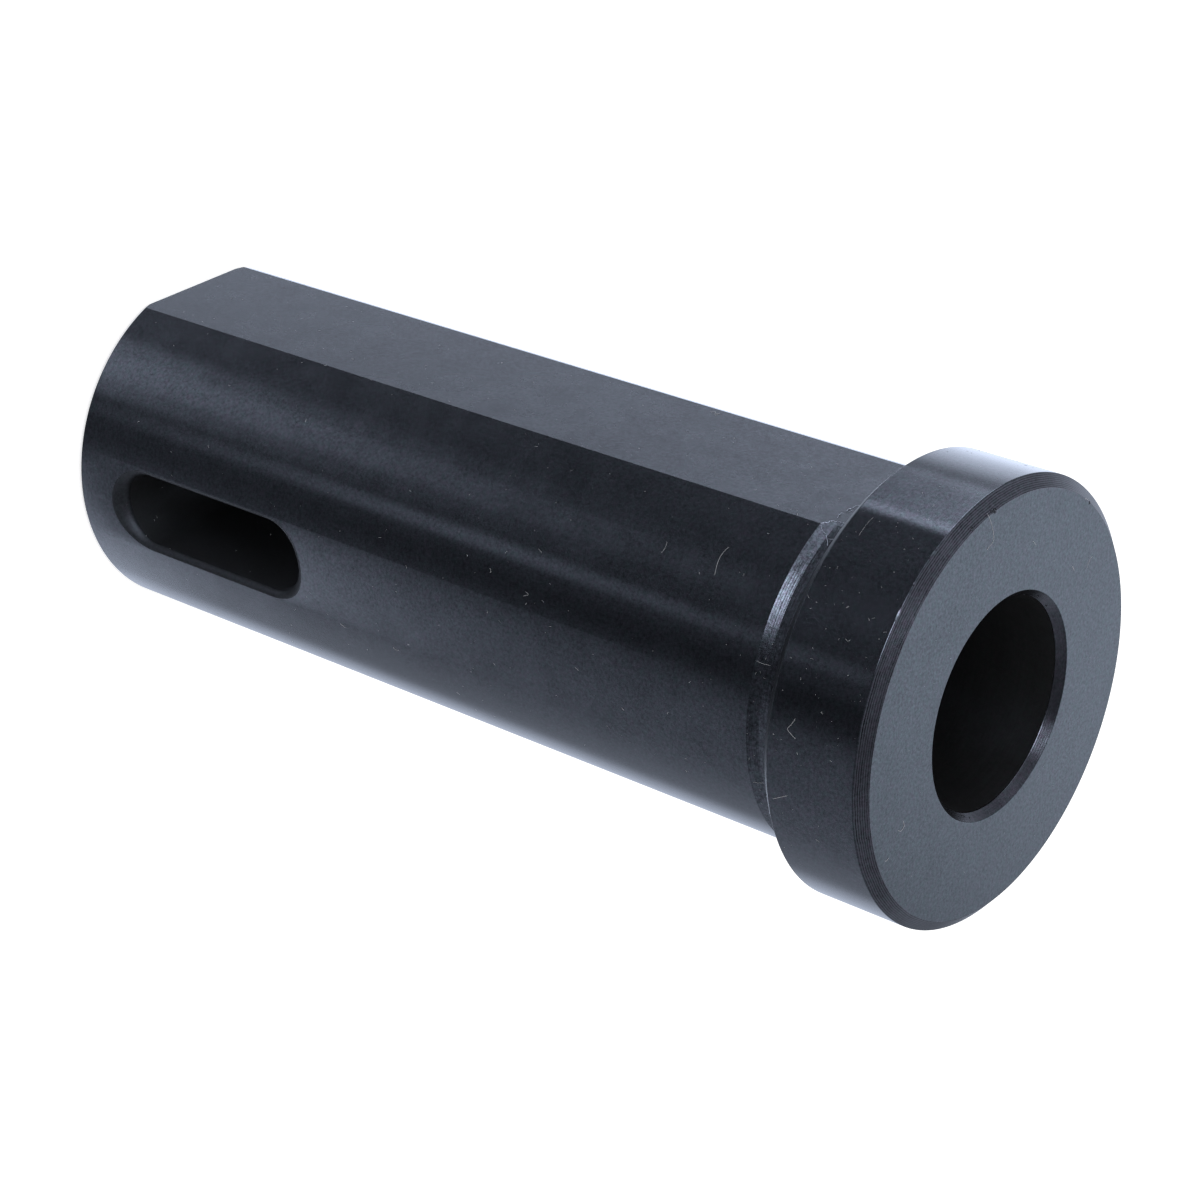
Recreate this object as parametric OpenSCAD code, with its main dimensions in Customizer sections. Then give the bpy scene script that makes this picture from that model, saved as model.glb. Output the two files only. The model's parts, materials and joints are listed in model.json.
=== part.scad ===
// Morse taper sleeve: a straight-shank holder, turned from one bar of steel, that takes
// a tool with a Morse taper 2 shank and tang. It stands on its back end with the head up.
// +Z runs along the axis, from the back end at z = 0 to the face of the head.
// The clamp flat faces -X, and the drift slot runs through along Y.

/* [Taper socket] */
// Diameter of the taper where it meets the face
mouth_d = 17.78; // [14:0.01:22]
// Taper of the socket, as change in diameter for each millimetre of length
taper_rate = 0.04995; // [0.03:0.00001:0.07]
// How far the taper runs past the near end of the drift slot
taper_past_slot = 3.2; // [0:0.1:8]
// How far the drilled end of the socket runs past the taper
drill_past_taper = 1.6; // [0.5:0.1:4]
// How much smaller the drilled end is than the taper, on the radius
drill_step = 0.12; // [0.05:0.01:0.5]
// Full angle of a drill point, here and in the centre hole
drill_point = 118; // [90:1:150]
// Width of the bevel round the mouth, across the face
mouth_bevel_w = 0.58; // [0.2:0.01:2]
// Depth of the bevel round the mouth, along the axis
mouth_bevel_l = 0.7; // [0.2:0.01:2]

/* [Drift slot] */
// Distance from the face of the head to the near end of the slot
slot_from_face = 61.9; // [50:0.1:90]
// Length of the slot along the axis
slot_l = 21.6; // [14:0.1:30]
// Width of the slot
slot_w = 6.75; // [5:0.05:9]
// Bevel round both mouths of the slot, at the crown of the shank
slot_bevel = 0.87; // [0.7:0.01:1.5]

/* [Shank] */
// Diameter of the shank
shank_d = 31.75; // [28:0.01:45]
// Metal between the slot and the back end
end_wall = 5.4; // [4.6:0.1:20]
// Bevel round the back end
back_bevel = 0.3; // [0.1:0.05:1]

/* [Clamp flat] */
// Depth of the flat under the crown of the shank
flat_depth = 1.27; // [0.5:0.01:3]
// Gap that the milling cutter leaves between the flat and the shoulder
flat_gap = 0.5; // [0.4:0.05:1.5]

/* [Head] */
// Height of the head's shoulder over the shank
shoulder_h = 2.78; // [1.5:0.01:8]
// Length of the head along the axis
head_l = 9.525; // [5:0.005:20]
// Bevel between the shoulder and the rim
rear_bevel = 0.7; // [0.1:0.05:1]
// Width of the bevel round the face, across the radius
front_bevel_w = 1; // [0.2:0.01:3]
// Length of the bevel round the face, along the axis
front_bevel_l = 0.85; // [0.2:0.01:3]

/* [Relief groove] */
// Width of the groove between the ground shank and the shoulder
groove_w = 3.35; // [2:0.05:6]
// Depth of the groove
groove_depth = 0.4; // [0.2:0.05:1.2]
// Length of the sloped side towards the shank
groove_slope_l = 0.95; // [0.2:0.05:1.5]
// Radius in the corner under the shoulder
groove_corner_r = 0.4; // [0.1:0.05:0.8]

/* [Centre hole] */
// Diameter of the centre hole at the back end
centre_d = 5; // [3:0.1:6]
// Full angle of its cone
centre_angle = 60; // [60:1:90]
// Diameter of the pilot drilled ahead of the cone
centre_pilot_d = 2; // [1:0.1:2.5]
// Length of the pilot between the cone and the drill point
centre_pilot_l = 0.6; // [0.2:0.1:1]

/* [Hidden] */

// How far a cutter stands out past the surface that it cuts
clear = 1;

shank_r = shank_d / 2;
mouth_r = mouth_d / 2;
head_r = shank_r + shoulder_h;
groove_r = shank_r - groove_depth;
flat_x = shank_r - flat_depth;

// Stations along the axis, from the back end
slot_low_z = end_wall;
slot_high_z = slot_low_z + slot_l;
face_z = slot_high_z + slot_from_face;
shoulder_z = face_z - head_l;
groove_z = shoulder_z - groove_w;
taper_z = slot_high_z - taper_past_slot;
drill_z = taper_z - drill_past_taper;

// Centres of the slot's round ends
slot_end_z = [slot_low_z + slot_w / 2, slot_high_z - slot_w / 2];

// Smooth steps round a full turn, and in the groove's corner
$fn = 96;
CORNER_STEPS = 6;

// Half section of the turned blank, as [radius, z]
function corner_arc() = [
    for (i = [0:CORNER_STEPS])
        let (a = 180 - 90 * i / CORNER_STEPS)
        [
            groove_r + groove_corner_r * (1 + cos(a)),
            shoulder_z - groove_corner_r * (1 - sin(a))
        ]
];

function blank_section() = concat(
    [
        [0, 0],
        [shank_r - back_bevel, 0],
        [shank_r, back_bevel],
        [shank_r, groove_z],
        [groove_r, groove_z + groove_slope_l]
    ],
    corner_arc(),
    [
        [head_r - rear_bevel, shoulder_z],
        [head_r, shoulder_z + rear_bevel],
        [head_r, face_z - front_bevel_l],
        [head_r - front_bevel_w, face_z],
        [0, face_z]
    ]
);

module turned_blank() {
    rotate_extrude() polygon(blank_section());
}

// Reamed taper, with the end of the drilled hole below it and a bevel at the mouth
module taper_socket() {
    small_r = mouth_r - taper_rate / 2 * (face_z - taper_z);
    drill_r = small_r - drill_step;
    point_l = drill_r / tan(drill_point / 2);
    rotate_extrude()
        polygon([
            [0, drill_z - point_l],
            [drill_r, drill_z],
            [drill_r, taper_z],
            [small_r, taper_z],
            [mouth_r - taper_rate / 2 * mouth_bevel_l, face_z - mouth_bevel_l],
            [mouth_r + mouth_bevel_w, face_z],
            [mouth_r + mouth_bevel_w, face_z + clear],
            [0, face_z + clear]
        ]);
}

// Slot with round ends, milled square through the shank
module drift_slot() {
    depth = 2 * (shank_r + clear);
    for (z = slot_end_z)
        translate([0, 0, z])
            rotate([90, 0, 0])
                cylinder(h = depth, r = slot_w / 2, center = true);
    translate([-slot_w / 2, -depth / 2, slot_end_z[0]])
        cube([slot_w, depth, slot_end_z[1] - slot_end_z[0]]);
}

// Bevel at 45 degrees round the mouth on the -Y side
module slot_mouth_bevel() {
    inner_y = shank_r - slot_bevel;
    outer_y = shank_r + clear;
    inner_r = slot_w / 2;
    outer_r = inner_r + outer_y - inner_y;
    for (z = slot_end_z)
        translate([0, -inner_y, z])
            rotate([90, 0, 0])
                cylinder(h = outer_y - inner_y, r1 = inner_r, r2 = outer_r);
    translate([0, 0, slot_end_z[0]])
        linear_extrude(slot_end_z[1] - slot_end_z[0])
            polygon([
                [-inner_r, -inner_y],
                [-outer_r, -outer_y],
                [outer_r, -outer_y],
                [inner_r, -inner_y]
            ]);
}

// Flat along the whole shank, milled on across the relief groove almost to the shoulder
module clamp_flat() {
    end_z = shoulder_z - flat_gap;
    translate([-flat_x - shank_r, -shank_r, -clear])
        cube([shank_r, shank_d, end_z + clear]);
}

// Centre hole that the shank is ground on
module centre_hole() {
    centre_r = centre_d / 2;
    pilot_r = centre_pilot_d / 2;
    cone_l = (centre_r - pilot_r) / tan(centre_angle / 2);
    tip_l = pilot_r / tan(drill_point / 2);
    rotate_extrude()
        polygon([
            [0, -clear],
            [centre_r, -clear],
            [centre_r, 0],
            [pilot_r, cone_l],
            [pilot_r, cone_l + centre_pilot_l],
            [0, cone_l + centre_pilot_l + tip_l]
        ]);
}

module sleeve() {
    color("#24262b")
        difference() {
            turned_blank();
            taper_socket();
            drift_slot();
            slot_mouth_bevel();
            mirror([0, 1, 0]) slot_mouth_bevel();
            clamp_flat();
            centre_hole();
        }
}

sleeve();
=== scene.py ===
import json
import random
from math import cos, pi, radians, sin, sqrt, tan

import bmesh
import bpy
from mathutils import Matrix, Quaternion, Vector


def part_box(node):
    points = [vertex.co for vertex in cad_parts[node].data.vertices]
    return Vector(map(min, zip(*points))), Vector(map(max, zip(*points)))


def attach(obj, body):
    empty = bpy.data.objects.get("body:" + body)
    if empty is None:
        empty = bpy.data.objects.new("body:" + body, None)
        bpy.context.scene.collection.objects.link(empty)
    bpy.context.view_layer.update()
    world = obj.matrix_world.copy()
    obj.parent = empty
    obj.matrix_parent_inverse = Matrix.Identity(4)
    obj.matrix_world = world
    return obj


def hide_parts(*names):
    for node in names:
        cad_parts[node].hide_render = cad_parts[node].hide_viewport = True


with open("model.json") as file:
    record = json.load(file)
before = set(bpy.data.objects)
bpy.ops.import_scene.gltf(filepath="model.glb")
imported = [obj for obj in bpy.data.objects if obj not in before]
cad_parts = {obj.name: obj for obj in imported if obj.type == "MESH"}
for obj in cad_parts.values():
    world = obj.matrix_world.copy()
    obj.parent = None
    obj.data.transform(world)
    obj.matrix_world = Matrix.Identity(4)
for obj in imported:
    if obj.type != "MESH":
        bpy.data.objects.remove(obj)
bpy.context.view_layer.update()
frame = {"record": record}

# Camera
# A long lens looks along the clamp flat's side of the sleeve, from over the head. It is
# rolled, so that the upright sleeve lies across the picture as in the photograph.
MM = 0.001
AIM = Vector((3.463, 0.461, 47.719)) * MM
CAMERA_AZIMUTH = radians(-124.139)
CAMERA_HEIGHT = radians(35.423)
CAMERA_DISTANCE = 268.279 * MM
CAMERA_ROLL = radians(109.556)
LENS = 93.59
SENSOR_W = 36

towards_camera = Vector((
    cos(CAMERA_AZIMUTH) * cos(CAMERA_HEIGHT),
    sin(CAMERA_AZIMUTH) * cos(CAMERA_HEIGHT),
    sin(CAMERA_HEIGHT),
))
camera = bpy.data.objects.new("camera", bpy.data.cameras.new("camera"))
camera.data.lens = LENS
camera.data.sensor_width = SENSOR_W
camera.data.clip_start = 0.01
camera.data.clip_end = 20
camera.location = AIM + towards_camera * CAMERA_DISTANCE
camera.rotation_mode = "QUATERNION"
upright = (-towards_camera).to_track_quat("-Z", "Y")
camera.rotation_quaternion = upright @ Quaternion((0, 0, 1), CAMERA_ROLL)
bpy.context.scene.collection.objects.link(camera)
bpy.context.scene.camera = camera

# Sleeve blank
# One bar of alloy steel, turned all over, with a ground shank and a reamed taper socket.
# The tool leaves fine rings on the bevels. A black oxide bath then blackens every face.
# Sizes are in millimetres, and Z runs from the back end to the face of the head.
mounts = {mount["name"]: mount for mount in frame["record"]["mounts"]}
low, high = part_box("sleeve")
SHANK_R = mounts["shank"]["dims"]["r_mm"]
HEAD_R = round(-low.x / MM, 2)
DUST_ROOM = 0.04
FACE_Z = high.z / MM - DUST_ROOM
SHOULDER_Z = mounts["head_shoulder"]["pos_m"][2] / MM
BACK_BEVEL = 0.3
GROOVE_Z = BACK_BEVEL + mounts["shank"]["dims"]["length_mm"]
GROOVE_DEPTH = 0.4
GROOVE_R = SHANK_R - GROOVE_DEPTH
GROOVE_SLOPE = 0.95
REAR_BEVEL = 0.7
FRONT_BEVEL_W = 1.0
FRONT_BEVEL_L = 0.85
MOUTH_R = 8.89
MOUTH_BEVEL_W = 0.58
MOUTH_BEVEL_L = 0.7
TAPER = 0.04995 / 2
TAPER_END_Z = 23.8
DRILL_END_Z = 22.2
DRILL_STEP = 0.12
DRILL_POINT = radians(118)
CENTRE_R = 2.5
CENTRE_PILOT_R = 1.0
CENTRE_PILOT_L = 0.6
CENTRE_ANGLE = radians(60)
TURNS = 384
RING_STEPS = 4
SHARP_ANGLE = radians(19)


class Wire:
    """One output of a shader node. Arithmetic on wires adds nodes to the same tree."""

    def __init__(self, tree, socket=None):
        self.tree = tree
        self.socket = socket

    def make(self, kind, settings=(), sockets=(), output=0):
        """Adds a node, sets it, gives its sockets values or wires, and returns one output."""
        node = self.tree.nodes.new(kind)
        for name, value in dict(settings).items():
            setattr(node, name, value)
        for name, value in dict(sockets).items():
            socket = node.inputs[name]
            if isinstance(value, Wire):
                self.tree.links.new(value.socket, socket)
            elif isinstance(value, (int, float)) and hasattr(socket.default_value, "__len__"):
                socket.default_value = [value] * len(socket.default_value)
            else:
                socket.default_value = value
        return Wire(self.tree, node.outputs[output] if node.outputs else None)

    def maths(self, operation, *values):
        """Arithmetic by the kind of the wires: Math, Vector Math, or Mix for colours."""
        kinds = {value.socket.type for value in values if isinstance(value, Wire)}
        if "RGBA" in kinds:
            settings = {"data_type": "RGBA", "blend_type": operation}
            sockets = {0: 1.0, 6: values[0], 7: values[1]}
            return self.make("ShaderNodeMix", settings, sockets, 2)
        node = "ShaderNodeVectorMath" if "VECTOR" in kinds else "ShaderNodeMath"
        return self.make(node, {"operation": operation}, dict(enumerate(values)))

    def __add__(self, other):
        return self.maths("ADD", self, other)

    __radd__ = __add__

    def __sub__(self, other):
        return self.maths("SUBTRACT", self, other)

    def __rsub__(self, other):
        return self.maths("SUBTRACT", other, self)

    def __mul__(self, other):
        return self.maths("MULTIPLY", self, other)

    __rmul__ = __mul__

    def __truediv__(self, other):
        return self.maths("DIVIDE", self, other)

    def __rtruediv__(self, other):
        return self.maths("DIVIDE", other, self)

    def __pow__(self, other):
        return self.maths("POWER", self, other)

    def __neg__(self):
        return self.maths("MULTIPLY", self, -1)

    def parts(self):
        """The three parts of a vector, each as a wire."""
        split = self.make("ShaderNodeSeparateXYZ", {}, {0: self}).socket.node
        return [Wire(self.tree, part) for part in split.outputs]

    def mixed(self, factor, first, second):
        """A colour between two others."""
        return self.make("ShaderNodeMix", {"data_type": "RGBA"}, {0: factor, 6: first, 7: second}, 2)

    def noise(self, scale, detail=2, roughness=0.5):
        """Noise about 0 to 1 round 0.5, at the place that this wire gives."""
        sockets = {"Vector": self, "Scale": scale, "Detail": detail, "Roughness": roughness}
        return self.make("ShaderNodeTexNoise", {}, sockets)


def new_tree(owner):
    """An empty node tree of a material or of the world."""
    owner.use_nodes = True
    owner.node_tree.nodes.clear()
    return Wire(owner.node_tree)


def black_steel(
    name, roughness, stretch=0, rings=0, grain=0.1, relief=1, metal=1, tone=1, feed=0, hue=(1, 1, 1)
):
    """Black oxide over steel. Stretch draws highlights out across the tool marks.

    Rings are the tool's fine marks round the axis, feed its even lines on a bevel, grain
    the crystals of the oxide film, and relief their height in thousandths of a millimetre.
    Tone darkens the colour, as painted shade in recesses and under the head, and hue tints it.
    Every noise scale is in cells for each mm.
    """
    material = bpy.data.materials.new(name)
    tree = new_tree(material)
    place = tree.make("ShaderNodeTexCoord", {}, {}, "Object") * (1 / MM)
    x, y, z = place.parts()
    radius = (x * x + y * y) ** 0.5
    over = z + radius * 1.7
    across = over * 6
    lathe = tree.make("ShaderNodeCombineXYZ", {}, {0: x * 0.15, 1: y * 0.15, 2: across})
    marks = lathe.noise(1.0, 3, 0.6) - 0.5
    lines = tree.maths("SINE", over * 55 + place.noise(0.7, 1) * 5) * feed
    crystals = place.noise(3.6, 3, 0.8) - 0.5
    clouds = place.noise(0.35, 3, 0.6) - 0.5
    smears = place.noise(0.09, 2, 0.5) - 0.5
    plum = [part * share for part, share in zip(PLUM_OXIDE, hue)] + [1]
    green = [part * share for part, share in zip(GREEN_OXIDE, hue)] + [1]
    tint = tree.mixed(place.noise(2.4, 2, 0.7), plum, green)
    shade = tone * (1 + crystals * (8 * grain) + clouds * 0.4 + marks * (2 * rings) + lines)
    height = crystals + marks * (8 * rings)
    bump = tree.make("ShaderNodeBump", {}, {"Distance": relief * 0.001 * MM, "Height": height})
    shader = tree.make("ShaderNodeBsdfPrincipled", {}, {
        "Base Color": tint * shade,
        "Metallic": metal,
        "Roughness": roughness * (1 + clouds * 0.25 + smears * 0.3 + marks * rings),
        "Anisotropic": stretch,
        "Anisotropic Rotation": 0.25,
        "Normal": bump,
    })
    tree.make("ShaderNodeOutputMaterial", {}, {"Surface": shader})
    return material


PLUM_OXIDE = (0.060, 0.046, 0.0575)
GREEN_OXIDE = (0.039, 0.056, 0.0515)
REDDER = (1.06, 1, 1)
GREENER = (0.95, 1.03, 1)
FINISHES = {
    "ground": black_steel("ground_shank", 0.19, 0.7, rings=0.04, grain=0.25, relief=0.4),
    "rim": black_steel("turned_rim", 0.156, 0.93, rings=0.05, grain=0.24, relief=2.5),
    "bevel": black_steel(
        "turned_bevel", 0.22, 0.69, rings=0.3, grain=0.22, relief=2.5, feed=0.55, hue=REDDER
    ),
    # The rear bevel under the head is darkened by its tone: painted shade.
    "rear": black_steel("rear_bevel", 0.4, 0.3, rings=0.3, grain=0.3, relief=3, metal=0.9, tone=0.7),
    "groove": black_steel("turned_groove", 0.25, 0.42, rings=0.3, grain=0.42, relief=11),
    "face": black_steel("faced_end", 0.224, rings=0.05, grain=0.3, relief=2, hue=GREENER),
    # The socket's bore and the centre hole are darkened by their tone: painted shade inside them.
    "socket": black_steel("reamed_socket", 0.3, 0.3, rings=0.2, relief=2, metal=0.6, tone=0.7),
    # The pits are darkened by their tone: painted shade inside them.
    "pit": black_steel("dark_pits", 0.5, grain=0.3, relief=6, metal=0.5, tone=0.3),
}


def rounded(corners, steps=4, hold=0.03):
    """Points along a profile, with the finish of the stretch that each one starts.

    A corner is (r, z, rounding, finish, rings, ring depth), and the last three are for the
    stretch after it, whose rings are shallow hollows. A point just before and after each
    arc keeps the shading of the straight parts true.
    """
    points = []
    starts = [Vector(corners[0][:2])]
    ends = []
    arcs = []
    for before, here, after in zip(corners, corners[1:], corners[2:]):
        corner = Vector(here[:2])
        back = (Vector(before[:2]) - corner).normalized()
        ahead = (Vector(after[:2]) - corner).normalized()
        if not here[2]:
            ends.append(corner + back * hold)
            starts.append(corner + ahead * hold)
            arcs.append([corner])
            continue
        half = back.angle(ahead) / 2
        reach = here[2] / tan(half)
        centre = corner + (back + ahead).normalized() * here[2] / sin(half)
        start = corner + back * reach - centre
        turn = start.angle_signed(corner + ahead * reach - centre)
        ends.append(corner + back * (reach + hold))
        starts.append(corner + ahead * (reach + hold))
        arcs.append([centre + Matrix.Rotation(-turn * i / steps, 2) @ start for i in range(steps + 1)])
    ends.append(Vector(corners[-1][:2]))
    arcs.append([])
    for corner, start, end, arc in zip(corners, starts, ends, arcs):
        finish, rings, depth = (tuple(corner[3:]) + (0, 0))[:3]
        inwards = (end - start).normalized().orthogonal()
        points.append((start, finish))
        for i in range(1, RING_STEPS * rings):
            off_middle = (2 * (i % RING_STEPS) - RING_STEPS) / RING_STEPS
            hollow = depth * (1 - off_middle ** 2)
            share = i / (RING_STEPS * rings)
            points.append((start.lerp(end, share) + inwards * hollow, finish))
        points.append((end, finish))
        points += [(point, finish) for point in arc]
    return points


def turned(name, profile):
    """A solid of revolution about Z, closed where the profile meets the axis."""
    mesh = bmesh.new()
    rings = []
    for (r, z), finish in profile:
        if r < 1e-6:
            rings.append([mesh.verts.new((0, 0, z * MM))] * TURNS)
            continue
        angles = [2 * pi * i / TURNS for i in range(TURNS)]
        rings.append([mesh.verts.new((r * cos(a) * MM, r * sin(a) * MM, z * MM)) for a in angles])
    for (point, finish), lower, upper in zip(profile, rings, rings[1:]):
        for i in range(TURNS):
            j = (i + 1) % TURNS
            face = mesh.faces.new(dict.fromkeys([lower[i], lower[j], upper[j], upper[i]]))
            face.material_index = list(FINISHES).index(finish)
    bmesh.ops.recalc_face_normals(mesh, faces=mesh.faces)
    return to_object(name, mesh, *FINISHES.values())


def to_object(name, mesh, *materials):
    """Puts a finished mesh into the scene as an object with its materials."""
    data = bpy.data.meshes.new(name)
    mesh.to_mesh(data)
    mesh.free()
    for material in materials:
        data.materials.append(material)
    piece = bpy.data.objects.new(name, data)
    bpy.context.scene.collection.objects.link(piece)
    return piece


small_r = MOUTH_R - TAPER * (FACE_Z - TAPER_END_Z)
drill_r = small_r - DRILL_STEP
cone_l = (CENTRE_R - CENTRE_PILOT_R) / tan(CENTRE_ANGLE / 2)
pilot_z = cone_l + CENTRE_PILOT_L
blank_profile = rounded([
    # from the bottom of the centre hole, over the outside, to the bottom of the socket
    (0, pilot_z + CENTRE_PILOT_R / tan(DRILL_POINT / 2), 0, "socket"),
    (CENTRE_PILOT_R, pilot_z, 0, "socket"),
    (CENTRE_PILOT_R, cone_l, 0, "bevel"),
    (CENTRE_R, 0, 0, "face"),
    (SHANK_R - BACK_BEVEL, 0, 0.12, "bevel"),
    (SHANK_R, BACK_BEVEL, 0.12, "ground"),
    (SHANK_R, GROOVE_Z, 0.05, "groove", 5, 0.004),
    (GROOVE_R, GROOVE_Z + GROOVE_SLOPE, 0.12, "groove", 7, 0.004),
    (GROOVE_R, SHOULDER_Z, 0.4, "face"),
    (HEAD_R - REAR_BEVEL, SHOULDER_Z, 0.08, "rear", 4, 0.003),
    (HEAD_R, SHOULDER_Z + REAR_BEVEL, 0.12, "rim"),
    (HEAD_R, FACE_Z - FRONT_BEVEL_L, 0.1, "bevel", 7, 0.005),
    (HEAD_R - FRONT_BEVEL_W, FACE_Z, 0.08, "face"),
    (MOUTH_R + MOUTH_BEVEL_W, FACE_Z, 0.06, "bevel", 4, 0.003),
    (MOUTH_R - TAPER * MOUTH_BEVEL_L, FACE_Z - MOUTH_BEVEL_L, 0.1, "socket"),
    (small_r, TAPER_END_Z, 0, "socket"),
    (drill_r, TAPER_END_Z, 0, "socket"),
    (drill_r, DRILL_END_Z, 0, "socket"),
    (0, DRILL_END_Z - drill_r / tan(DRILL_POINT / 2), 0, "socket"),
])
sleeve = turned("sleeve_body", blank_profile)

# Drift slot
# The slot is milled square through the shank with a round cutter, and its mouths are
# broken with a countersink, which leaves a soft bevel. A drift goes in to push the tool out.
SLOT_LOW_Z = 5.4
SLOT_HIGH_Z = 27.0
SLOT_R = 3.375
SLOT_BEVEL = 0.87
SLOT_STEPS = 32
SLOT_EDGE_SOFT = 0.35
SLOT_EDGE_REACH = 0.9
CUTTER_SKIN = 0.01
CUTTER_PAST = 1.0


def slot_outline():
    """Points round the slot as (point, direction outwards), from one round end to the other."""
    outline = []
    for middle, start in ((SLOT_HIGH_Z - SLOT_R, 0), (SLOT_LOW_Z + SLOT_R, pi)):
        for i in range(SLOT_STEPS + 1):
            angle = start + pi * i / SLOT_STEPS
            outward = Vector((cos(angle), 0, sin(angle)))
            outline.append((outward * SLOT_R + Vector((0, 0, middle)), outward))
    return outline


def bend(first, corner, last, steps=5):
    """A smooth bend between two lines that meet at a corner."""
    shares = [step / steps for step in range(steps + 1)]
    return [first.lerp(corner, t).lerp(corner.lerp(last, t), t) for t in shares]


def mouth_line(x, way):
    """Points (wide, y) out of the slot at x, over the bevel and onto the round shank.

    The bevel leaves the wall at 45 degrees. It is wide at the slot's round ends, where the
    shank stands highest, and narrow along the sides. The last point is clear of the shank.
    """
    edge = SHANK_R - SLOT_BEVEL
    b = edge + x * way
    square = 1 + way * way
    meets = (sqrt(b * b - square * (edge ** 2 + x ** 2 - SHANK_R ** 2)) - b) / square
    soft = min(SLOT_EDGE_SOFT, meets / 2)
    out = meets + soft
    top = sqrt(SHANK_R ** 2 - (x + way * out) ** 2) + CUTTER_SKIN
    reach = soft * SLOT_EDGE_REACH
    bevel_start = Vector((0, edge))
    bevel_end = Vector((meets, edge + meets))
    inner = bend(Vector((0, edge - soft)), bevel_start, Vector((reach, edge + reach)))
    outer = bend(Vector((meets - soft, edge + meets - soft)), bevel_end, Vector((out, top)))
    return inner + outer + [Vector((out + CUTTER_PAST / 2, SHANK_R + CUTTER_PAST))]


def slot_cutter():
    """A bar with the slot's section, flared out at both mouths."""
    mesh = bmesh.new()
    rings = []
    for point, outward in slot_outline():
        line = mouth_line(point.x, outward.x)
        stations = [(wide, -y) for wide, y in reversed(line)] + [(wide, y) for wide, y in line]
        places = [point + outward * wide + Vector((0, y, 0)) for wide, y in stations]
        rings.append([mesh.verts.new(place * MM) for place in places])
    last = len(rings[0]) - 1
    for near, far in zip(rings, rings[1:] + rings[:1]):
        for i in range(last):
            face = mesh.faces.new((near[i], near[i + 1], far[i + 1], far[i]))
            face.material_index = int(i != last // 2)
    mesh.faces.new([ring[0] for ring in rings])
    mesh.faces.new([ring[last] for ring in rings])
    bmesh.ops.recalc_face_normals(mesh, faces=mesh.faces)
    # The slot's walls are darkened by their tone: painted shade inside the slot. The mouth is darkened a
    # little less.
    wall = black_steel("milled_slot", 0.5, grain=0.2, relief=4, metal=0.3, tone=0.28)
    mouth = black_steel("slot_mouth", 0.55, grain=0.25, relief=4, metal=0.75, tone=0.42)
    return to_object("slot_cutter", mesh, wall, mouth)


def cut(piece, cutter):
    """Takes the cutter's volume out of the piece, and deletes the cutter."""
    boolean = piece.modifiers.new("cut", "BOOLEAN")
    boolean.object = cutter
    boolean.operation = "DIFFERENCE"
    boolean.solver = "EXACT"
    boolean.material_mode = "TRANSFER"
    shapes = bpy.context.evaluated_depsgraph_get()
    data = bpy.data.meshes.new_from_object(piece.evaluated_get(shapes))
    piece.modifiers.clear()
    piece.data = data
    bpy.data.objects.remove(cutter)


cut(sleeve, slot_cutter())

# Clamp flat
# A flat is milled along the whole shank, out into the relief groove, for set screws. The
# end mill leaves it even and a little duller than the ground shank.
FLAT_X = -mounts["clamp_flat"]["pos_m"][0] / MM
FLAT_STOP = 0.5
FLAT_END_Z = SHOULDER_Z - FLAT_STOP


def flat_cutter():
    """A block as deep as the flat and up to its end, and past the shank elsewhere."""
    mesh = bmesh.new()
    bmesh.ops.create_cube(mesh, size=1)
    size = Vector((SHANK_R, 3 * SHANK_R, FLAT_END_Z + 1))
    middle = Vector((-FLAT_X - SHANK_R / 2, 0, FLAT_END_Z - size.z / 2))
    for vertex in mesh.verts:
        vertex.co = (vertex.co * size + middle) * MM
    return to_object("flat_cutter", mesh, black_steel("milled_flat", 0.265, grain=0.3))


cut(sleeve, flat_cutter())

# Dents and nicks
# The head has been knocked: long shallow dents on its outer edge, nicks at the inner edge
# of the front bevel, and small pits left by chips on the socket's mouth.
EDGE_OUT = (0.91, 0.42)
FRONT_OUT = (0.65, 0.76)
MOUTH_OUT = (-0.77, 0.64)
DENTS = (
    # angle, radius and depth under the face of the place, way out of the steel, and the
    # radius, the depth and the fineness of the ball that dents it
    (-135.8, 18.655, 0.85, EDGE_OUT, 30.0, 0.05, 6),
    (-152.5, 18.655, 0.85, EDGE_OUT, 25.0, 0.05, 6),
    (-143.6, 18.655, 0.85, EDGE_OUT, 1.0, 0.05, 3),
)
NICKS = (
    (-174.4, 17.60, 0.02, FRONT_OUT, 0.35, 0.16, 1),
    (-173.2, 17.75, 0.10, FRONT_OUT, 0.20, 0.09, 1),
    (-164.9, 17.80, 0.14, FRONT_OUT, 0.25, 0.10, 1),
    (137.7, 17.58, 0.00, FRONT_OUT, 0.24, 0.12, 1),
    (-78.6, 17.88, 0.19, FRONT_OUT, 0.15, 0.06, 1),
    (143.6, 9.08, 0.45, MOUTH_OUT, 0.14, 0.12, 2),
    (130.5, 9.00, 0.54, MOUTH_OUT, 0.13, 0.11, 2),
    (154.9, 8.90, 0.67, MOUTH_OUT, 0.30, 0.08, 1),
    (-27.3, 9.05, 0.49, MOUTH_OUT, 0.16, 0.12, 1),
    (-22.6, 9.18, 0.34, MOUTH_OUT, 0.12, 0.09, 1),
    (-29.5, 9.00, 0.55, MOUTH_OUT, 0.60, 0.05, 2),
)


def ball_cutter(knocks, finish):
    """Balls that stand in the steel by the depth of each knock, each with its own spin."""
    mesh = bmesh.new()
    for angle, r, under, (out_r, out_z), ball_r, depth, fineness in knocks:
        way = Matrix.Rotation(radians(angle), 3, "Z")
        outward = way @ Vector((out_r, 0, out_z)).normalized()
        middle = way @ Vector((r, 0, FACE_Z - under)) + outward * (ball_r - depth)
        turn = Matrix.Translation(middle * MM) @ Matrix.Rotation(angle, 4, outward)
        bmesh.ops.create_icosphere(mesh, subdivisions=fineness, radius=ball_r * MM, matrix=turn)
    return to_object("ball_cutter", mesh, FINISHES[finish])


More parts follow.
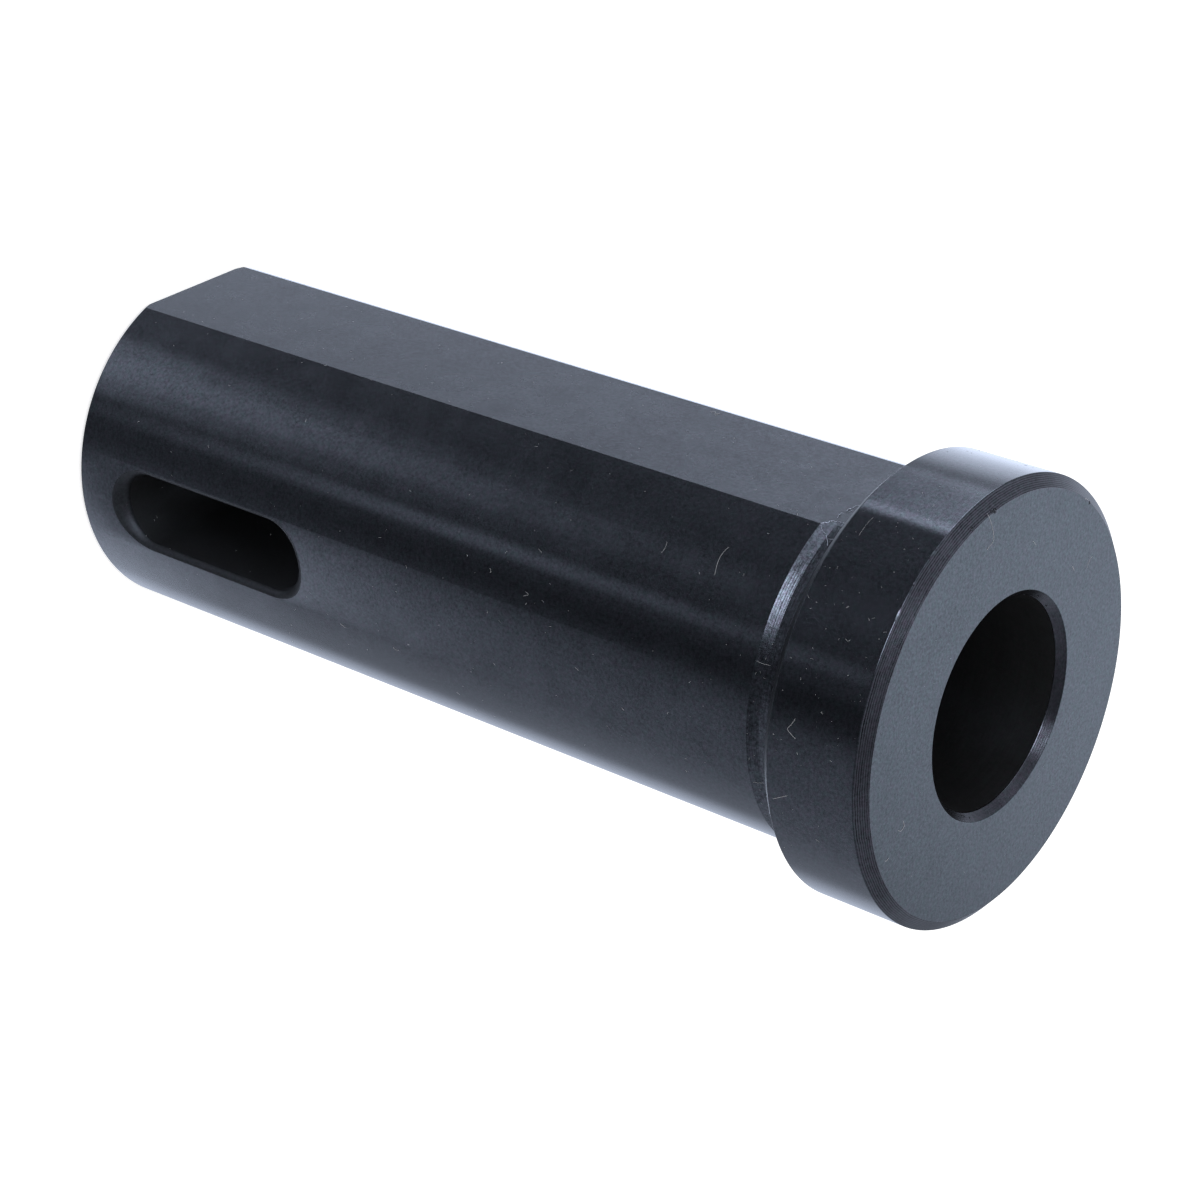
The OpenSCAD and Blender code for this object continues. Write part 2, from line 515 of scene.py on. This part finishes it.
cut(sleeve, ball_cutter(DENTS, "bevel"))
# The nicks and pits take the darkened finish, which is painted shade inside them.
cut(sleeve, ball_cutter(NICKS, "pit"))
sleeve.data.polygons.foreach_set("use_smooth", [True] * len(sleeve.data.polygons))
sleeve.data.set_sharp_from_angle(angle=SHARP_ANGLE)
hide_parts("sleeve")
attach(sleeve, "root")

# Burr
# The flat's end mill left a ragged curl of bared steel along the edge of the flat, where
# it runs out into the relief groove, and torn chips of it beside. They are thin and bright.
BURR_LIFT = 0.07
BURR = (
    # across the flat, up the sleeve, and the radius of the torn edge
    (-6.25, 76.00, 0.014), (-6.12, 76.08, 0.030), (-6.02, 76.22, 0.012), (-5.90, 76.18, 0.026),
    (-5.80, 76.36, 0.010), (-5.66, 76.44, 0.032), (-5.58, 76.40, 0.008), (-5.50, 76.58, 0.024),
    (-5.38, 76.62, 0.010), (-5.36, 76.80, 0.028), (-5.22, 76.88, 0.008), (-5.16, 77.04, 0.020),
    (-5.16, 77.22, 0.008), (-5.11, 77.40, 0.018), (-5.13, 77.62, 0.006),
)


def on_round(r):
    """Gives places on a cylinder of this radius, by angle and height."""
    return lambda angle, z, lift: Vector((
        (r + lift) * cos(radians(angle)),
        (r + lift) * sin(radians(angle)),
        z,
    ))


def on_groove(angle, z, lift):
    """A place in the relief groove, on its sloped wall or on its floor."""
    share = min((z - GROOVE_Z) / GROOVE_SLOPE, 1)
    return on_round(SHANK_R + (GROOVE_R - SHANK_R) * share)(angle, z, lift)


def on_flat(y, z, lift):
    """A place on the clamp flat."""
    return Vector((-FLAT_X - lift, y, z))


CHIPS = (
    # surface, then both places on it and the radius, from end to end of each chip
    (on_flat, ((-4.77, 76.54, 0.010), (-4.32, 76.34, 0.018), (-3.95, 76.30, 0.010), (-3.75, 76.39, 0.006))),
    (on_flat, ((-3.50, 76.44, 0.010), (-2.99, 76.31, 0.026), (-2.82, 76.47, 0.012), (-2.48, 76.46, 0.024))),
    (on_flat, ((-2.48, 76.46, 0.024), (-2.10, 76.48, 0.012), (-1.85, 76.68, 0.026))),
    (on_flat, ((-3.40, 76.60, 0.006), (-3.05, 76.66, 0.012), (-2.60, 76.62, 0.006))),
    (on_groove, ((-156.4, 76.11, 0.010), (-155.1, 76.46, 0.022), (-154.5, 76.87, 0.012))),
    (on_groove, (
        (-154.5, 76.87, 0.012), (-153.4, 77.13, 0.022), (-152.3, 77.40, 0.014), (-151.3, 77.54, 0.022),
    )),
    (on_groove, ((-153.4, 77.13, 0.014), (-153.7, 77.36, 0.022), (-154.2, 77.78, 0.014))),
    (on_groove, ((-148.3, 77.78, 0.012), (-147.6, 77.84, 0.022), (-146.9, 77.80, 0.012))),
)


def strand(mesh, path, sides=6):
    """A closed thread swept along points, each with its own radius in mm."""
    rings = []
    for i, (point, r) in enumerate(path):
        ahead = (path[min(i + 1, len(path) - 1)][0] - path[max(i - 1, 0)][0]).normalized()
        across = ahead.cross(Vector((0.31, 0.52, 0.79))).normalized()
        over = ahead.cross(across)
        angles = [2 * pi * step / sides for step in range(sides)]
        ring = [point + (across * cos(a) + over * sin(a)) * r for a in angles]
        rings.append([mesh.verts.new(vertex * MM) for vertex in ring])
    for near, far in zip(rings, rings[1:]):
        for i in range(sides):
            j = (i + 1) % sides
            mesh.faces.new((near[i], near[j], far[j], far[i]))
    mesh.faces.new(rings[0])
    mesh.faces.new(rings[-1])


def curved(points, steps=4):
    """A smooth path through points, each a vector and a radius."""
    points = [points[0]] + list(points) + [points[-1]]
    path = []
    for (a, _), (b, r), (c, next_r), (d, _) in zip(points, points[1:], points[2:], points[3:]):
        for step in range(steps):
            t = step / steps
            middle = b * 2 + (c - a) * t + (a * 2 - b * 5 + c * 4 - d) * t ** 2
            place = (middle + (b * 3 - a - c * 3 + d) * t ** 3) / 2
            path.append((place, r + (next_r - r) * t))
    return path + [points[-1]]


def dress(piece):
    """Shades a small piece smooth and makes it move with the sleeve."""
    piece.data.polygons.foreach_set("use_smooth", [True] * len(piece.data.polygons))
    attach(piece, "root")


def bared_steel(name):
    """Bright torn steel, stained in places by the oxide bath."""
    material = bpy.data.materials.new(name)
    tree = new_tree(material)
    place = tree.make("ShaderNodeTexCoord", {}, {}, "Object") * (1 / MM)
    stain = tree.mixed(place.noise(6.0, 2), (0.10, 0.09, 0.09, 1), (0.62, 0.63, 0.67, 1))
    shader = tree.make("ShaderNodeBsdfPrincipled", {}, {
        "Base Color": stain,
        "Metallic": 1.0,
        "Roughness": 0.3 + place.noise(9.0, 2) * 0.3,
    })
    tree.make("ShaderNodeOutputMaterial", {}, {"Surface": shader})
    return material


burr_mesh = bmesh.new()
random.seed(4)
for side, thickness in ((1, 1), (-1, 0.7)):
    torn = []
    for y, z, r in BURR:
        torn.append((on_flat(side * y, z, random.uniform(-0.01, BURR_LIFT)), r * thickness))
    strand(burr_mesh, curved(torn, 3))
for surface, chip in CHIPS:
    torn = [(surface(u, v, random.uniform(0.01, BURR_LIFT)), r) for u, v, r in chip]
    strand(burr_mesh, curved(torn, 3))
dress(to_object("burr", burr_mesh, bared_steel("bared_steel")))

# Lint
# Fine fibres of cloth and paper, left on the oiled steel by the wiping rag. Each is a
# hair-thin thread that lies on the surface, straight, bent or curled.
THREAD_R = 0.010
SHRED_R = (0.004, 0.009)
SHRED_REACH = (0.06, 0.28)
SHRED_BEND = 0.6


def on_face(x, y, lift):
    """A place on the head's face."""
    return Vector((x, y, FACE_Z + lift))


on_shank = on_round(SHANK_R)
on_rim = on_round(HEAD_R)
FIBRES = (
    # surface, thickness, and both places on it from end to end of each fibre
    (on_face, 1.0, ((-17.75, -2.79), (-16.59, -2.19), (-15.20, -1.85), (-14.73, -2.77))),
    (on_face, 1.0, ((3.95, -13.20), (4.46, -13.05), (4.70, -13.45), (4.45, -13.85))),
    (on_face, 1.0, ((6.30, -15.05), (6.42, -15.32), (6.30, -15.55))),
    (on_face, 0.8, ((-7.30, 11.90), (-7.75, 12.10), (-8.05, 12.60))),
    (on_face, 1.0, ((-8.36, 9.65), (-8.05, 9.83), (-7.81, 9.93))),
    (on_face, 1.0, ((-12.91, 3.70), (-12.62, 3.96), (-12.39, 4.15))),
    (on_face, 1.1, ((-13.68, 11.10), (-13.50, 11.42), (-13.34, 11.58))),
    (on_rim, 1.0, ((-105.2, 82.35), (-103.4, 82.05), (-102.0, 81.80), (-100.5, 82.60))),
    (on_rim, 1.0, ((-82.5, 80.60), (-83.4, 81.10), (-85.0, 82.00))),
    (on_rim, 0.5, ((-157.0, 81.65), (-154.0, 81.58), (-151.0, 81.60))),
    (on_rim, 0.7, ((-126.5, 84.70), (-126.1, 84.95), (-126.6, 85.15))),
    (on_rim, 0.7, ((-74.7, 84.25), (-74.2, 84.55))),
    (on_rim, 0.6, ((-133.2, 80.20), (-132.6, 80.45))),
    (on_shank, 1.0, ((-140.9, 70.00), (-138.0, 69.75), (-135.0, 69.80), (-132.0, 70.00))),
    (on_shank, 0.8, ((-136.6, 64.60), (-134.8, 64.70), (-133.0, 64.55))),
    (on_shank, 1.0, ((-75.3, 31.95), (-74.8, 32.20), (-74.4, 32.50))),
    (on_shank, 1.0, ((-73.8, 38.00), (-73.3, 38.15), (-73.1, 38.45), (-73.5, 38.65))),
    (on_shank, 0.8, ((-112.6, 49.05), (-111.9, 49.25), (-111.3, 49.15))),
    (on_shank, 0.8, ((-109.7, 53.10), (-109.1, 53.45), (-108.2, 53.00))),
    (on_shank, 0.7, ((-122.7, 53.30), (-122.0, 53.70))),
    (on_shank, 0.7, ((-92.5, 58.90), (-91.8, 59.25))),
    (on_shank, 0.7, ((-84.8, 63.60), (-84.0, 63.85))),
    (on_shank, 0.6, ((-62.7, 44.00), (-61.9, 44.25))),
    (on_flat, 0.8, ((-1.55, 74.70), (-1.80, 74.60), (-2.00, 74.75))),
    (on_flat, 0.8, ((5.40, 56.25), (5.70, 56.50), (5.35, 56.70), (5.60, 57.00), (5.15, 56.90))),
    (on_groove, 0.8, ((-113.3, 76.05), (-113.0, 76.60), (-113.1, 77.20))),
    (on_groove, 0.7, ((-75.2, 76.20), (-74.9, 76.60), (-75.1, 77.00))),
)
SHREDS = (
    # surface, how many, the least and most of both of its places, and mm for each degree
    (on_shank, 70, (-158, -58), (4, 75), 0.28),
    (on_shank, 60, (-58, 158), (4, 75), 0.28),
    (on_rim, 34, (-175, -95), (80.6, 87.6), 0.33),
    (on_rim, 30, (95, 175), (80.6, 87.6), 0.33),
    (on_flat, 30, (-6, 6), (4, 78), 1.0),
    (on_groove, 16, (-158, -58), (76.2, 76.9), 0.28),
)


def dry_fluff(name, light, dark):
    """Pale matt lint and dust, some of it darker or browner."""
    material = bpy.data.materials.new(name)
    tree = new_tree(material)
    place = tree.make("ShaderNodeTexCoord", {}, {}, "Object") * (1 / MM)
    shader = tree.make("ShaderNodeBsdfPrincipled", {}, {
        "Base Color": tree.mixed(place.noise(0.9, 3, 0.7), dark, light),
        "Roughness": 0.7 + place.noise(3.0) * 0.3,
        "Specular IOR Level": 0.2,
    })
    tree.make("ShaderNodeOutputMaterial", {}, {"Surface": shader})
    return material


lint_mesh = bmesh.new()
for surface, weight, places in FIBRES:
    r = THREAD_R * weight
    lifts = [r * (0.8 + 0.8 * (i % 2)) for i in range(len(places))]
    points = [(surface(u, v, lift), r) for (u, v), lift in zip(places, lifts)]
    strand(lint_mesh, curved(points, 5))
random.seed(8)
for surface, count, across, along, scale in SHREDS:
    for i in range(count):
        u = random.uniform(*across)
        v = random.uniform(*along)
        heading = random.uniform(0, 2 * pi)
        reach = random.uniform(*SHRED_REACH)
        turn = random.uniform(-SHRED_BEND, SHRED_BEND)
        bits = []
        for step in (0, 1, 2):
            u += reach * cos(heading) / scale / 2
            v += reach * sin(heading) / 2
            heading += turn
            place = surface(u, v, 0.004 + 0.005 * (step % 2))
            bits.append((place, random.uniform(*SHRED_R)))
        strand(lint_mesh, curved(bits, 2))
fluff = dry_fluff("pale_lint", (0.80, 0.82, 0.86, 1), (0.45, 0.45, 0.48, 1))
dress(to_object("lint", lint_mesh, fluff))

# Dust
# Grains of dust and grit that settled on the sleeve in its storage. Most are too small to
# tell apart, and a few are large enough to throw a glint.
GRAIN_R = 0.024
FINE_R = 0.008
SCATTER_MORE = 0.015
FACE_MORE = 0.012
FACE_COUNT = 90
FACE_RING = (10, 17.4)
GRAINS = (
    # surface, size, and both places on it of each grain
    (on_shank, 1.3, ((-105, 44.4), (-66.2, 31.9), (-131.2, 44.7), (-152.3, 68), (-84.4, 63.7))),
    (on_shank, 1.0, ((-73.5, 49), (-78.7, 36.7), (-125.5, 46.5), (-136.2, 47.9), (-141, 48.1))),
    (on_shank, 1.0, ((-146.6, 50.5), (-153.2, 48.2), (-154, 31.6), (-133.7, 55.2), (-98.6, 60.7))),
    (on_shank, 1.0, ((-135, 72), (-125, 70.4), (-105.9, 66.5), (-90.5, 70.6), (-75.9, 71.6))),
    (on_shank, 1.0, ((-114.8, 73.1), (-113.3, 74.6), (-155.3, 75.1), (-108.6, 57.7))),
    (on_rim, 1.3, ((-66.5, 80.6), (-144.8, 86), (-104.2, 86.3), (-184, 87), (-166, 85.2))),
    (on_rim, 1.0, ((-94.5, 83.3), (-108.5, 84.6), (-124, 86.9), (-157.5, 83.8), (-155, 84.3))),
    (on_rim, 1.0, ((-141, 80.9), (-173, 84.2), (-134, 83.3), (-137.5, 84.2), (-152.5, 86.7))),
    (on_rim, 0.8, ((-115, 87.7), (-114.2, 87.5), (-115.6, 87.4), (-105.5, 87.7), (-107.5, 85.5))),
    (on_groove, 1.2, ((-119, 76.9), (-148, 76.8), (-147, 76.7), (-135, 76.8), (-72, 76.6))),
    (on_face, 1.0, ((2.17, 13.33), (-9.92, 6.88), (-13.45, 11.60), (-13.64, 11.28))),
    (on_face, 0.9, ((2.65, 14.44), (-1.9, -12.6), (9.5, -11.9), (12.8, -4.6), (14.9, 2.7))),
    (on_flat, 1.5, ((3.10, 35.2), (1.45, 40.2), (3.20, 50.8), (-3.70, 56.0), (1.60, 69.4))),
    (on_flat, 1.2, ((-2.30, 38.5), (-3.55, 44.5), (2.40, 61.0), (-5.60, 72.7), (-2.9, 71.4))),
    (on_flat, 1.0, ((-1.40, 59.2), (-2.50, 60.0), (0.10, 75.5), (-0.50, 76.9), (-4.1, 74.0))),
    (on_flat, 0.8, ((-3.20, 32.3), (2.10, 60.2), (0.00, 69.9), (2.00, 72.4), (-5.5, 73.2))),
)
SCATTER = (
    # surface, how many, and the least and most of both of its places
    (on_shank, 420, (-165, 165), (0.6, 75.8)),
    (on_rim, 90, (-175, -95), (80.3, 87.8)),
    (on_rim, 60, (-84, -5), (80.3, 87.8)),
    (on_rim, 60, (5, 84), (80.3, 87.8)),
    (on_rim, 60, (95, 175), (80.3, 87.8)),
    (on_flat, 110, (-6.0, 6.0), (2.0, 78.5)),
    (on_groove, 60, (-158, 158), (76.2, 76.9)),
)


def grain(mesh, place, size):
    """One flattened, uneven grain of dust."""
    turn = Matrix.Translation(place * MM) @ Matrix.Rotation(random.uniform(0, 6), 4, "Z")
    made = bmesh.ops.create_icosphere(mesh, subdivisions=1, radius=size * MM, matrix=turn)
    for vertex in made["verts"]:
        offset = vertex.co - place * MM
        vertex.co = place * MM + offset * random.uniform(0.5, 1.3)


dust_mesh = bmesh.new()
random.seed(11)
for surface, weight, places in GRAINS:
    for u, v in places:
        grain(dust_mesh, surface(u, v, 0), GRAIN_R * weight)
for surface, count, (low_u, high_u), (low_v, high_v) in SCATTER:
    for i in range(count):
        place = surface(random.uniform(low_u, high_u), random.uniform(low_v, high_v), 0)
        grain(dust_mesh, place, FINE_R + SCATTER_MORE * random.random() ** 3)
for i in range(FACE_COUNT):
    angle = random.uniform(-180, 180)
    r = sqrt(random.uniform(FACE_RING[0] ** 2, FACE_RING[1] ** 2))
    place = on_face(r * cos(radians(angle)), r * sin(radians(angle)), 0)
    grain(dust_mesh, place, FINE_R + FACE_MORE * random.random() ** 3)
grit = dry_fluff("grey_dust", (0.75, 0.77, 0.82, 1), (0.30, 0.26, 0.26, 1))
dress(to_object("dust", dust_mesh, grit))

# Stage
# A plain white floor under the sleeve, in the plain soft light of a photo studio: large
# soft panels, narrow strips and a dark card, which only mirroring surfaces see, as bands.
FLOOR_R = 6
FLOOR_PALE = (0.8, 0.8, 0.8, 1)
FLOOR_WHITE = 0.6
ROOM_LIGHT = 0.9
WHITE = (1, 1, 1, 1)
COOL_WHITE = (0.88, 0.985, 1.215, 1)

floor_mesh = bmesh.new()
bmesh.ops.create_circle(floor_mesh, cap_ends=True, segments=96, radius=FLOOR_R)
floor_material = bpy.data.materials.new("floor")
floor = to_object("floor", floor_mesh, floor_material)
floor.visible_glossy = False
tree = new_tree(floor_material)
pale = tree.make("ShaderNodeBsdfDiffuse", {}, {"Color": FLOOR_PALE})
white = tree.make("ShaderNodeEmission", {}, {"Strength": FLOOR_WHITE})
seen = tree.make("ShaderNodeLightPath", {}, {}, "Is Camera Ray")
glow = tree.make("ShaderNodeMixShader", {}, {0: seen, 2: white})
lit = tree.make("ShaderNodeAddShader", {}, {0: pale, 1: glow})
tree.make("ShaderNodeOutputMaterial", {}, {"Surface": lit})

world = bpy.data.worlds.new("surround")
bpy.context.scene.world = world
tree = new_tree(world)
direction = tree.make("ShaderNodeTexCoord", {}, {}, "Generated")
east, north, up = direction.parts()
front = east * cos(CAMERA_AZIMUTH) + north * sin(CAMERA_AZIMUTH)
side = north * cos(CAMERA_AZIMUTH) - east * sin(CAMERA_AZIMUTH)
turn = tree.maths("ARCTAN2", side, front) * (180 / pi)
tilt = tree.maths("ARCSINE", up) * (180 / pi)


def panel(turn_to, half_width, tilt_to, half_height, strength, edge=4, top=4):
    """Light from a soft panel, turned and tilted from the camera's side by so many degrees."""
    across = tree.maths("WRAP", turn - turn_to, 180, -180) / half_width
    upright = (tilt - tilt_to) / half_height
    return tree.maths("EXPONENT", -(across ** edge + upright ** top)) * strength


# Most of these values come from a fit, by a scratch program, to the brightness of the steel
# in the photograph. They were then rounded, and some were changed.
surround = 0.27
# Low, behind the left, and at the left
surround = surround + panel(-143, 25, -70, 55, 1.8, top=8)
surround = surround + panel(-91, 19.5, -17, 11.5, 5.4, edge=16)
# Narrow strips under the camera
surround = surround + panel(-21, 22, -50, 3.4, 3.4, edge=8)
surround = surround + panel(-20, 9, -43, 4, 0.9, edge=8)
surround = surround + panel(9, 4.6, -38, 3, 1.7)
# A dark card right of the camera, and a soft panel at the right
surround = surround + panel(32, 11, -22, 21, -0.15)
surround = surround + panel(91, 45, -18, 26, 0.58)
# Low strips at the right and the left, and a faint panel behind
surround = surround + panel(119, 70, -50.5, 5.5, 2.5)
surround = surround + panel(-60, 44, -55, 4.6, 3.3)
surround = surround + panel(168, 29, -35, 16, 0.6, edge=8)
# Overhead, the brightest panel over the camera, and a soft one at its left
surround = surround + panel(-161, 108, 86, 57, 1.13)
surround = surround + panel(-17, 16.5, 29, 17, 11.9, top=8)
surround = surround + panel(-63, 27.5, 3, 22.5, 2.3)
# Fainter light from behind, from above and from both sides
surround = surround + panel(-169, 15.5, 30, 14, 1.2, edge=8)
surround = surround + panel(-10, 110, 77, 13, 0.6)
surround = surround + panel(116, 33, 2, 27, 0.15)
surround = surround + panel(-126, 12.5, 30, 48, 0.42)
surround = surround + panel(-148, 16, 2, 13, 0.6)
surround = surround + panel(135, 20, 5, 13, 0.2)
# A thin bright streak at the left
surround = surround + panel(-75, 2.0, -24, 9, 4.5)
sight = tree.make("ShaderNodeLightPath", {}, {}, "Is Camera Ray")
shiny = tree.make("ShaderNodeLightPath", {}, {}, "Is Glossy Ray")
through = tree.make("ShaderNodeLightPath", {}, {}, "Is Transmission Ray")
open_light = sight + (1 - sight) * (through + (1 - through) * ROOM_LIGHT)
plain = tree.make("ShaderNodeBackground", {}, {"Color": WHITE, "Strength": open_light})
mirrored = tree.make("ShaderNodeBackground", {}, {"Color": COOL_WHITE, "Strength": surround})
glow = tree.make("ShaderNodeMixShader", {}, {0: shiny, 1: plain, 2: mirrored})
tree.make("ShaderNodeOutputWorld", {}, {"Surface": glow})

bpy.context.scene.view_settings.view_transform = "Standard"
